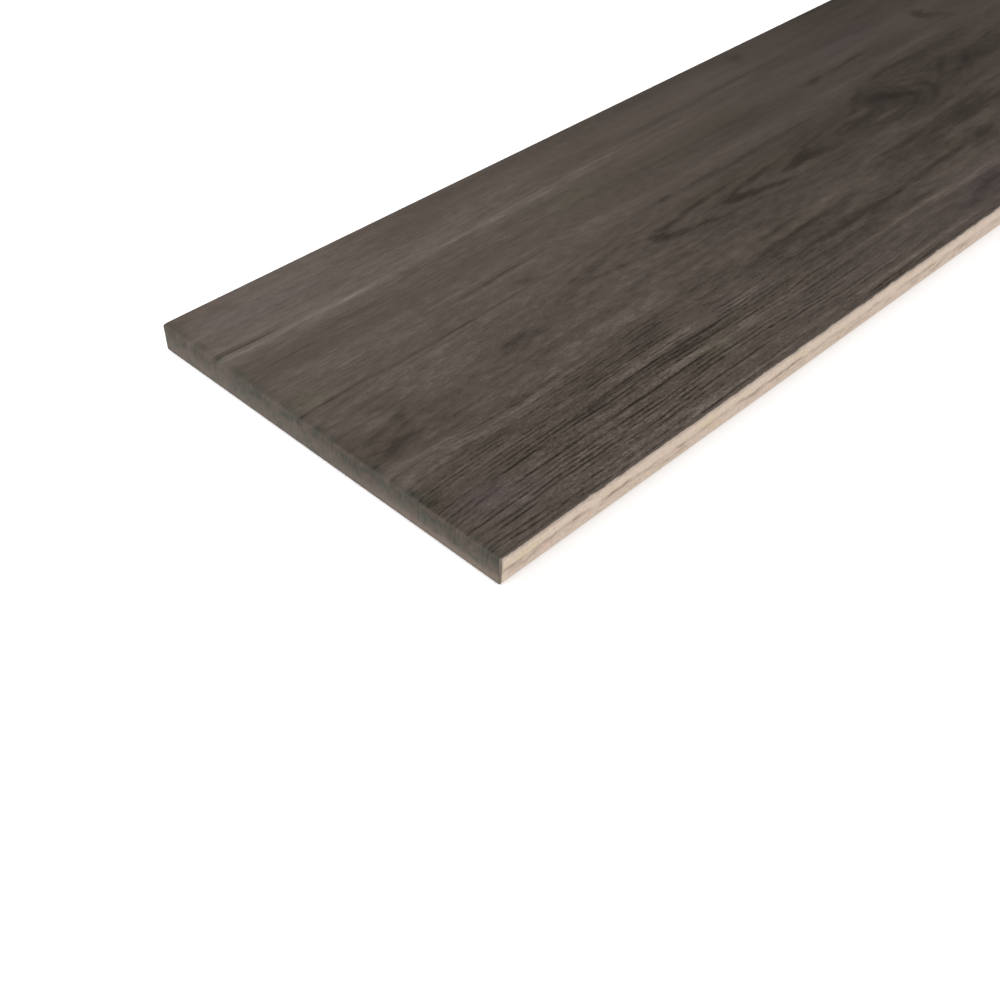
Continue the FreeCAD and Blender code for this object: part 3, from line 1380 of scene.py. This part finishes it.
    def looking(self) -> Value:
        """1 for what is seen straight, in a reflection or through glass, and 0 for what lights the plank."""
        rays = [self.value(f"Is {kind} Ray", "LightPath") for kind in ("Camera", "Glossy", "Transmission")]
        return self.math("MAXIMUM", self.math("MAXIMUM", rays[0], rays[1]), rays[2])


@dataclass(frozen=True)
class WoodGlaze:
    """The matt glaze of the face and ends, printed as weathered oak. It thins to the body at an end's foot.

    Args:
        sizes: The plank's sizes.
        shades: The screen colour of each tone.
        olive: What the print's warmer patches are drawn to.
        moss: What the glaze of the ends is drawn to in places.
        lilac: What the print's cooler patches are drawn to.
        thin_glaze: The colour where the glaze thins over the body.
        specular: How much the glaze mirrors when seen straight on.
        body_line: The height on an end below which the glaze thins.
        body_line_swing: How far that height wanders.
        end_span: How far in from an end its own look starts, and is complete.
        roll_span: How far in from an end the look of its roll starts, and is complete; the roll is darker
            there, as painted shade where it turns from the light.
        pale_span: Up to which height an end is palest, and from which it no longer is.
        foot_shade_span: Up to which height an end's foot takes its full painted shade, and from which it has
            none.
        softens: Past which border the fine grain is drawn softer.
        sharpens: Past which border it is as sharp as before.
    """

    sizes: PlankSizes
    shades: Shades = (
        (-5.5, (27, 21, 15)),
        (-2.5, (47, 40, 33)),
        (0.0, (81, 72, 65)),
        (2.0, (110, 101, 94)),
        (5.0, (150, 142, 135)),
    )
    olive: Colour = (84, 82, 67)
    moss: Colour = (80, 83, 75)
    lilac: Colour = (92, 80, 79)
    thin_glaze: Colour = (148, 132, 121)
    specular: float = 0.14
    body_line: float = 3.4
    body_line_swing: float = 0.7
    end_span: tuple[float, float] = (1.2, 0.1)
    roll_span: tuple[float, float] = (3.6, 1.4)
    pale_span: tuple[float, float] = (3.0, 9.4)
    foot_shade_span: tuple[float, float] = (0.1, 1.3)
    softens: SoftBorder = SoftBorder(-1.5, 40.0, 160.0, 240.0)
    sharpens: SoftBorder = SHARP_AGAIN

    def fine_grain(self, g: Graph, along: Value, fibre: Value, across: Value) -> tuple[Value, Value]:
        """The grain too fine for the mesh's points to carry.

        A vein is dark where its count is half past a whole number, and a ring line where it is a whole one,
        both broken up by noise. Patches, threads, specks, grit, pale fibres and pores are noises at scales of
        their own, drawn out along the fibres. They weaken away from the near side and in the soft part of the
        print, where wider bands and a mottle that doesn't follow the fibres take over.

        Args:
            g: The graph that the nodes go in.
            along: The place along the unrolled face.
            fibre: The fibre at the point.
            across: The place across the plank.

        Returns:
            What it adds to the tone, and the share of the surface that its veins and pores take.
        """
        near = 1 - g.ease(across, 18, 58)
        vein = g.attribute("vein")
        off_vein = abs(g.math("FRACT", vein) - 0.5)
        dashes = g.noise(along / 2.4, vein * 1.7, 2.0, 1.0) * 0.8 + 0.75
        veins = (1 - g.ease(off_vein, 0.05, 0.3)) * g.attribute("vein_strength") * dashes
        ring = g.attribute("ring")
        off_ring = abs(g.math("FRACT", ring + 0.5) - 0.5)
        wavering = g.noise(along / 7, fibre / 1.4, 61.0, 1.0) * 0.8 + 0.75
        rings = (1 - g.ease(off_ring, 0.0, 0.36)) * g.attribute("ring_show") * wavering
        patches = g.noise(along / 6.0, fibre / 1.7, 3.7, 2.0, 0.6)
        threads = g.noise(along / 4.0, fibre / 0.5, 9.1, 1.0)
        pores = g.ease(g.noise(along / 2.4, fibre / 0.36, 21.5, 0.0), 0.6, 0.95)
        pale = g.ease(g.noise(along / 3.6, fibre / 0.42, 77.0, 1.0), 0.5, 0.9)
        specks = g.noise(along / 1.4, fibre / 0.8, 31.0, 1.0, 0.6)
        grit = g.noise(along / 0.75, fibre / 0.65, 5.0, 0.0)
        sharp_again = self.sharpens.passed_in(g, along, across)
        soft = (g.ease(along, 130, 250) * 0.5 + g.ease(across, 70, 120) * 0.3) * (1 - sharp_again * 0.8)
        blur = self.softens.passed_in(g, along, across)
        crisp = 1 - (blur * 0.45 + g.ease(across, 60, 110) * 0.4) * (1 - sharp_again)
        crisp = crisp * (g.ease(along, 8, 45) * 0.4 + 0.6)
        crisp = crisp * (1 - g.ease(along, 88, 115) * (1 - blur) * 0.35)
        mottle = g.noise(along / 4.8, across / 2.5, 88.0, 2.0, 0.6) * (1 - near * (1 - blur))
        mottle = mottle * (0.52 - g.ease(along, 170, 260) * 0.2 - g.ease(across, 85, 115) * 0.2)
        wide = (1 - g.ease(across, 45, 70)) * g.ease(across + along / 6, 30, 48)
        bands = g.noise(along / 15, fibre / 3.2, 55.0, 2.0, 0.6)
        thin = threads * (0.45 + near * 1.0) + specks * (0.6 + near * 0.7)
        thin = thin + pale * (0.5 + near * 1.4) - pores * (0.4 + near * 1.1) + grit * (0.25 + near * 0.4)
        tone = (patches * (1.05 - g.ease(across, 60, 90) * 0.3) + thin * crisp) * (1 - soft)
        tone = tone + bands * (0.3 + wide * 0.95) + mottle - veins * 4.0 - rings * 1.6
        return tone, veins + rings + pores * 0.6

    def dress(self) -> bpy.types.Material:
        """Makes the finish.

        Returns:
            The material.
        """
        g = Graph.of_material("wood_grain_glaze")
        x, y, z = g.place()
        along, fibre, tint = g.attribute("along"), g.attribute("fibre"), g.attribute("tint")
        across = y + self.sizes.half_width
        fine, sunk = self.fine_grain(g, along, fibre, across)
        end = self.sizes.half_length
        on_end = g.ease(abs(x), end - self.end_span[0], end - self.end_span[1])
        on_roll = g.ease(abs(x), end - self.roll_span[0], end - self.roll_span[1]) * (1 - on_end)
        down = 1 - g.ease(z, *self.pale_span)
        # Painted shade along an end's foot, darkest at the bottom edge.
        foot = 1 - g.ease(z, *self.foot_shade_span)
        cloudy = g.noise(across / 5, z / 4 + across / 12, 5.0, 3.0, 0.65)
        runs = g.noise(across / 0.9, z / 3.5 + across / 9, 12.0, 2.0, 0.6)
        tone = g.attribute("tone") * (1 - on_end * 0.72) + fine * (1 - on_end * 0.93 - on_roll * 0.35)
        # On an end: paler below, with cloudy runs of glaze, and darker at the foot as painted shade.
        tone = tone + on_end * (down * 1.0 + 0.35 + cloudy * 1.5 + runs * 0.9 - foot * 0.8)
        # Painted shade: the roll darker where it turns from the light, broken up by the glaze's clouds.
        tone = tone - on_roll * (0.5 - cloudy * 1.2)
        colour = g.ramp(tone, self.shades)
        green = g.ease(tint, 0.1, 1.1) * 0.5 * (1 - on_end)
        colour = g.blend(green, colour, paint(*self.olive), "COLOR")
        mossy = (on_roll * 0.7 + on_end) * g.ease(tint * 0.5 + 0.5 - cloudy * 2.2, 0.1, 1.1)
        colour = g.blend(mossy * 0.6, colour, paint(*self.moss), "COLOR")
        ashy = g.ease(tint * -1.0 + on_end * (cloudy * 1.6 - 0.1), 0.1, 1.1)
        colour = g.blend(ashy * 0.6, colour, paint(*self.lilac), "COLOR")

        border = g.noise(y / 7, x / 50, 2.0, 3.0) * self.body_line_swing + self.body_line
        # The foot's painted shade also holds back the paler thin glaze there.
        thin = g.ease(border - z, -0.9, 1.1) * on_end * (1 - foot * 0.5)
        streaky = g.noise(y / 0.6, z / 8, 14.0, 2.0)
        shore = 0.52 - g.ease(across, 14, 80) * 0.44
        colour = g.blend(thin * (shore + streaky * 0.22), colour, paint(*self.thin_glaze))

        rough = 0.86 + tint * 0.03 + sunk * 0.1
        height = tone * 0.012 - sunk * 0.02 + g.noise(along / 0.8, across / 0.8, 50.0, 2.0) * 0.006
        return g.finish(colour, rough, self.specular, {"Normal": g.bump(height)})


@dataclass(frozen=True)
class FiredSide:
    """The bare porcelain body of a ground long side, with a thin brown iron mark that wanders along it.

    Args:
        sizes: The plank's sizes.
        body: The plain body.
        blush: Its rosy clouds.
        straw: Its yellow clouds.
        warm: Its stained strokes.
        iron: The iron mark and flecks.
        glaze_lip: The glaze that laps over the arris and round the corner; below the lip the same colour
            fades in as painted shade toward the top edge.
        lip_foot: The height down to which the glaze laps.
        lap_round_corner: How far it laps round a corner.
        mark_height: The height that the mark wanders about.
        mark_half_width: Half the mark's width.
        branch_drop: How far under it its branch runs.
        specular: How much the body mirrors when seen straight on.
    """

    sizes: PlankSizes
    body: Colour = (224, 206, 190)
    blush: Colour = (236, 201, 181)
    straw: Colour = (220, 205, 170)
    warm: Colour = (180, 152, 129)
    iron: Colour = (136, 107, 87)
    glaze_lip: Colour = (82, 72, 65)
    lip_foot: float = 9.15
    lap_round_corner: float = 1.0
    mark_height: float = 4.5
    mark_half_width: float = 0.56
    branch_drop: float = 1.7
    specular: float = 0.3

    def mark(self, g: Graph, off: Value, strength: Value) -> Value:
        """A line where `off`, the height over its middle, is near 0: full near its middle, then fading."""
        return (1 - g.ease(abs(off), self.mark_half_width * 0.3, self.mark_half_width * 2.0)) * strength

    def dress(self) -> bpy.types.Material:
        """Makes the finish.

        Returns:
            The material.
        """
        g = Graph.of_material("fired_side")
        x, y, z = g.place()
        far = y / 50
        wave = g.noise(x / 13, far, 1.0, 2.0, 0.6) * 1.0 + g.noise(x / 3.0, far, 6.0, 1.0) * 0.4
        off = z - self.mark_height - wave
        branch = off + self.branch_drop + g.noise(x / 9, far, 31.0, 2.0) * 1.6
        patchy = g.noise(x / 2.6, z / 0.9, far + 90.0, 2.0, 0.6) * 0.9 + 0.95
        strength = g.ease(g.noise(x / 7, far, 11.0, 2.0), -0.75, 0.55) * (1.1 - g.ease(x, -230, -130) * 0.35)
        main_mark = self.mark(g, off, strength) * patchy
        side_strength = g.ease(g.noise(x / 12, far, 51.0, 1.0), -0.2, 0.5) * 0.7
        side_mark = self.mark(g, branch, side_strength) * patchy
        low = 1 - g.ease(off, -0.7, 0.3)
        stroke_over = z - x * 0.25
        strokes = g.noise(x / 3.4, stroke_over / 0.75, far + 20.0, 2.0, 0.7)
        rose = g.noise(x / 4, z / 2.2, far + 3.0, 3.0, 0.7)
        pale_band = g.ease(off, 0.1, 0.9) * (1 - g.ease(off, 2.0, 3.6))
        grit = g.noise(x / 0.8, z / 0.7, far * 9.0, 2.0, 0.7)
        flecks = g.ease(g.noise(x / 1.8, stroke_over / 0.55, far + 40.0, 1.0), 0.35, 0.85)
        colour = g.blend(g.ease(rose, -0.1, 0.8) * (0.35 + low * 0.45), paint(*self.body), paint(*self.blush))
        yellow = g.ease(g.noise(x / 9, z / 3.5, far + 60.0, 2.0), -0.2, 0.7) * (pale_band * 0.55 + 0.15)
        colour = g.blend(yellow, colour, paint(*self.straw))
        foot = 1 - g.ease(z, 0.4, 2.2)
        stained = (low * 0.04 + g.ease(strokes, -0.1, 1.0) * (low * 0.42 + 0.3)) * (1 - foot * 0.55)
        colour = g.blend(stained, colour, paint(*self.warm))
        colour = g.blend(g.math("MAXIMUM", main_mark, side_mark) * 0.6, colour, paint(*self.iron))
        speckle = flecks * (low * 0.3 + 0.28) + g.ease(grit, -0.1, 0.9) * (0.36 + low * 0.06)
        colour = g.blend(speckle, colour, paint(*self.iron))
        chips = g.noise(x / 4, z / 1.5, far + 77.0, 4.0, 0.75) * 0.9
        over_edge = g.ease(z + chips, self.lip_foot - 0.4, self.lip_foot + 0.5)
        # Painted shade: the side darkens toward its top edge below the glaze lip.
        lip_painted_shade = g.ease(z + chips * 1.6, self.lip_foot - 1.9, self.lip_foot + 0.1) * 0.36
        over_edge = g.math("MAXIMUM", over_edge, lip_painted_shade)
        corner_gap = self.sizes.half_length - abs(x) + chips * 0.5 + 0.1 - z * 0.045
        round_corner = 1 - g.ease(corner_gap, self.lap_round_corner * 0.5, self.lap_round_corner * 1.4)
        colour = g.blend(g.math("MAXIMUM", over_edge, round_corner * 0.85), colour, paint(*self.glaze_lip))
        height = grit * 0.012 + strokes * 0.014 - flecks * 0.03 - main_mark * 0.02
        rough = 0.72 + grit * 0.05 - main_mark * 0.05
        return g.finish(colour, rough, self.specular, {"Normal": g.bump(height)})


@dataclass(frozen=True)
class KeyedBack:
    """The bare porcelain body of the back, rubbed paler on its ribs and stained in its cells.

    Args:
        body: The plain body.
        rib: Its rubbed ribs.
        stain: Its stained clouds, grit and pits.
        specular: How much it mirrors when seen straight on.
    """

    body: Colour = (196, 176, 158)
    rib: Colour = (210, 193, 176)
    stain: Colour = (160, 138, 120)
    specular: float = 0.3

    def dress(self) -> bpy.types.Material:
        """Makes the finish.

        Returns:
            The material.
        """
        g = Graph.of_material("keyed_back")
        x, y, z = g.place()
        cloud = g.noise(x / 40, y / 40, 8.0, 4.0, 0.6)
        grit = g.noise(x / 0.5, y / 0.5, z / 0.5, 2.0)
        pits = g.ease(g.noise(x / 1.1, y / 1.1, 44.0, 0.0), 0.7, 1.0)
        on_rib = 1 - g.ease(z, 0.02, 0.3)
        colour = g.blend(on_rib * 0.8, paint(*self.body), paint(*self.rib))
        colour = g.blend(g.ease(cloud, -0.5, 1.1) * 0.4, colour, paint(*self.stain))
        colour = g.blend(pits * 0.5 + g.ease(grit, 0.2, 1.2) * 0.2, colour, paint(*self.stain))
        height = grit * 0.02 - pits * 0.08 + cloud * 0.03
        rough = 0.78 + grit * 0.05
        return g.finish(colour, rough, self.specular, {"Normal": g.bump(height)})


@dataclass(frozen=True)
class SoftLamp:
    """A square lamp with a white cloth over it.

    Args:
        name: Its name.
        place: Where it hangs, in metres.
        aim: The point that it faces.
        size: The length of its side.
        power: Its power in watts.
    """

    name: str
    place: tuple[float, float, float]
    aim: tuple[float, float, float]
    size: float
    power: float

    def hang(self) -> None:
        """Puts the lamp in the scene, facing its aim."""
        light = bpy.data.lights.new(self.name, "AREA")
        light.size = self.size
        light.energy = self.power
        lamp = put_in_scene(self.name, light)
        lamp.location = self.place
        lamp.rotation_euler = (Vector(self.aim) - Vector(self.place)).to_track_quat("-Z", "Y").to_euler()


@dataclass(frozen=True)
class Studio:
    """A white room with soft light, and the camera over the plank's near corner.

    Args:
        room_light: How strongly the white room lights the plank.
        floor_reach: Half the floor's side.
        floor_gap: How far the floor lies under the plank.
        floor_shade: How pale the floor is.
        floor_glow: How much light of its own the floor shows near the plank.
        floor_fade: From where to where, in millimetres, it turns white with its distance.
        lens: The camera's focal length in millimetres.
        camera_place: Where the camera stands, in metres.
        camera_forward: Where it looks.
        camera_right: Which way is right in its picture.
        lamps: The lamps.
    """

    room_light: float = 0.3
    floor_reach: float = 6.0
    floor_gap: float = 0.0002
    floor_shade: float = 0.8
    floor_glow: float = 0.4
    floor_fade: tuple[float, float] = (500.0, 2500.0)
    lens: float = 48.6
    camera_place: tuple[float, float, float] = (-0.4756, -0.2499, 0.2539)
    camera_forward: tuple[float, float, float] = (0.5265, 0.5235, -0.6693)
    camera_right: tuple[float, float, float] = (0.705, -0.709, 0.0)
    lamps: tuple[SoftLamp, ...] = (
        SoftLamp("key_lamp", (-0.1, -2.1, 1.15), (-0.1, 0.0, 0.0), 1.5, 24.0),
        SoftLamp("sheen_lamp", (-0.3, 2.1, 1.15), (-0.2, 0.0, 0.0), 1.5, 26.0),
        SoftLamp("end_lamp", (-2.3, 0.2, 0.9), (-0.25, 0.0, 0.0), 1.4, 5.0),
        SoftLamp("top_lamp", (-1.2, 0.4, 1.2), (-0.25, 0.0, 0.0), 1.2, 14.0),
        SoftLamp("far_lamp", (2.3, 0.3, 0.9), (0.2, 0.0, 0.0), 1.4, 5.0),
    )

    def light_room(self) -> None:
        """Lights the room evenly, and shows it white to the camera and in what the plank reflects."""
        world = bpy.data.worlds.new("studio")
        bpy.context.scene.world = world
        g = Graph(world)
        strength = self.room_light + (1 - self.room_light) * g.looking()
        white = g.node("Background", None, {"Color": (1.0,) * 4, "Strength": strength})
        g.node("OutputWorld", None, {"Surface": white.outputs["Background"]})

    def lay_floor(self) -> None:
        """Lays a pale floor that the camera sees as white, with the plank's shadow kept."""
        reach, level = self.floor_reach, -self.floor_gap
        corners = [(reach * x, reach * y, level) for x, y in ((-1, -1), (1, -1), (1, 1), (-1, 1))]
        mesh = bpy.data.meshes.new("floor")
        mesh.from_pydata(corners, [], [(0, 1, 2, 3)])
        floor = put_in_scene("floor", mesh)
        g = Graph.of_material("pale_floor")
        x, y, _ = g.place()
        away = g.math("SQRT", x * x + y * y)
        glow = self.floor_glow + (1 - self.floor_glow) * g.ease(away, *self.floor_fade)
        seen = glow * g.looking()
        shade = (self.floor_shade,) * 3 + (1.0,)
        mesh.materials.append(g.finish(shade, 1.0, 0.0, {"Emission Strength": 1.0, "Emission Color": seen}))

    def set_camera(self) -> None:
        """Stands the camera over the near corner, looking along the plank's diagonal and down."""
        forward = Vector(self.camera_forward).normalized()
        right = Vector(self.camera_right).normalized()
        up = right.cross(forward).normalized()
        right = forward.cross(up)
        camera = bpy.data.cameras.new("camera")
        camera.lens = self.lens
        camera.clip_start = 0.01
        stand = put_in_scene("camera", camera)
        turn = Matrix((right, up, -forward)).transposed().to_4x4()
        stand.matrix_world = Matrix.Translation(self.camera_place) @ turn
        bpy.context.scene.camera = stand

    def build(self) -> None:
        """Lights the room, lays the floor, hangs the lamps and sets the camera."""
        bpy.context.scene.view_settings.view_transform = "Standard"
        self.light_room()
        self.lay_floor()
        for lamp in self.lamps:
            lamp.hang()
        self.set_camera()


def main() -> None:
    """Builds and dresses the plank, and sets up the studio."""
    logging.basicConfig(level=logging.INFO, format="%(name)s: %(message)s")
    plank = FiredPlank(PlankSizes.of_node(NODE), WoodPrint())
    piece = plank.build()
    plank.dress(piece)
    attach(piece, "root")
    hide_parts(NODE)
    log.info("%s: %d points, %d faces", piece.name, len(piece.data.vertices), len(piece.data.polygons))
    Studio().build()
    log.info("studio: floor, lamps and camera set")


if __name__ == "__main__":
    main()
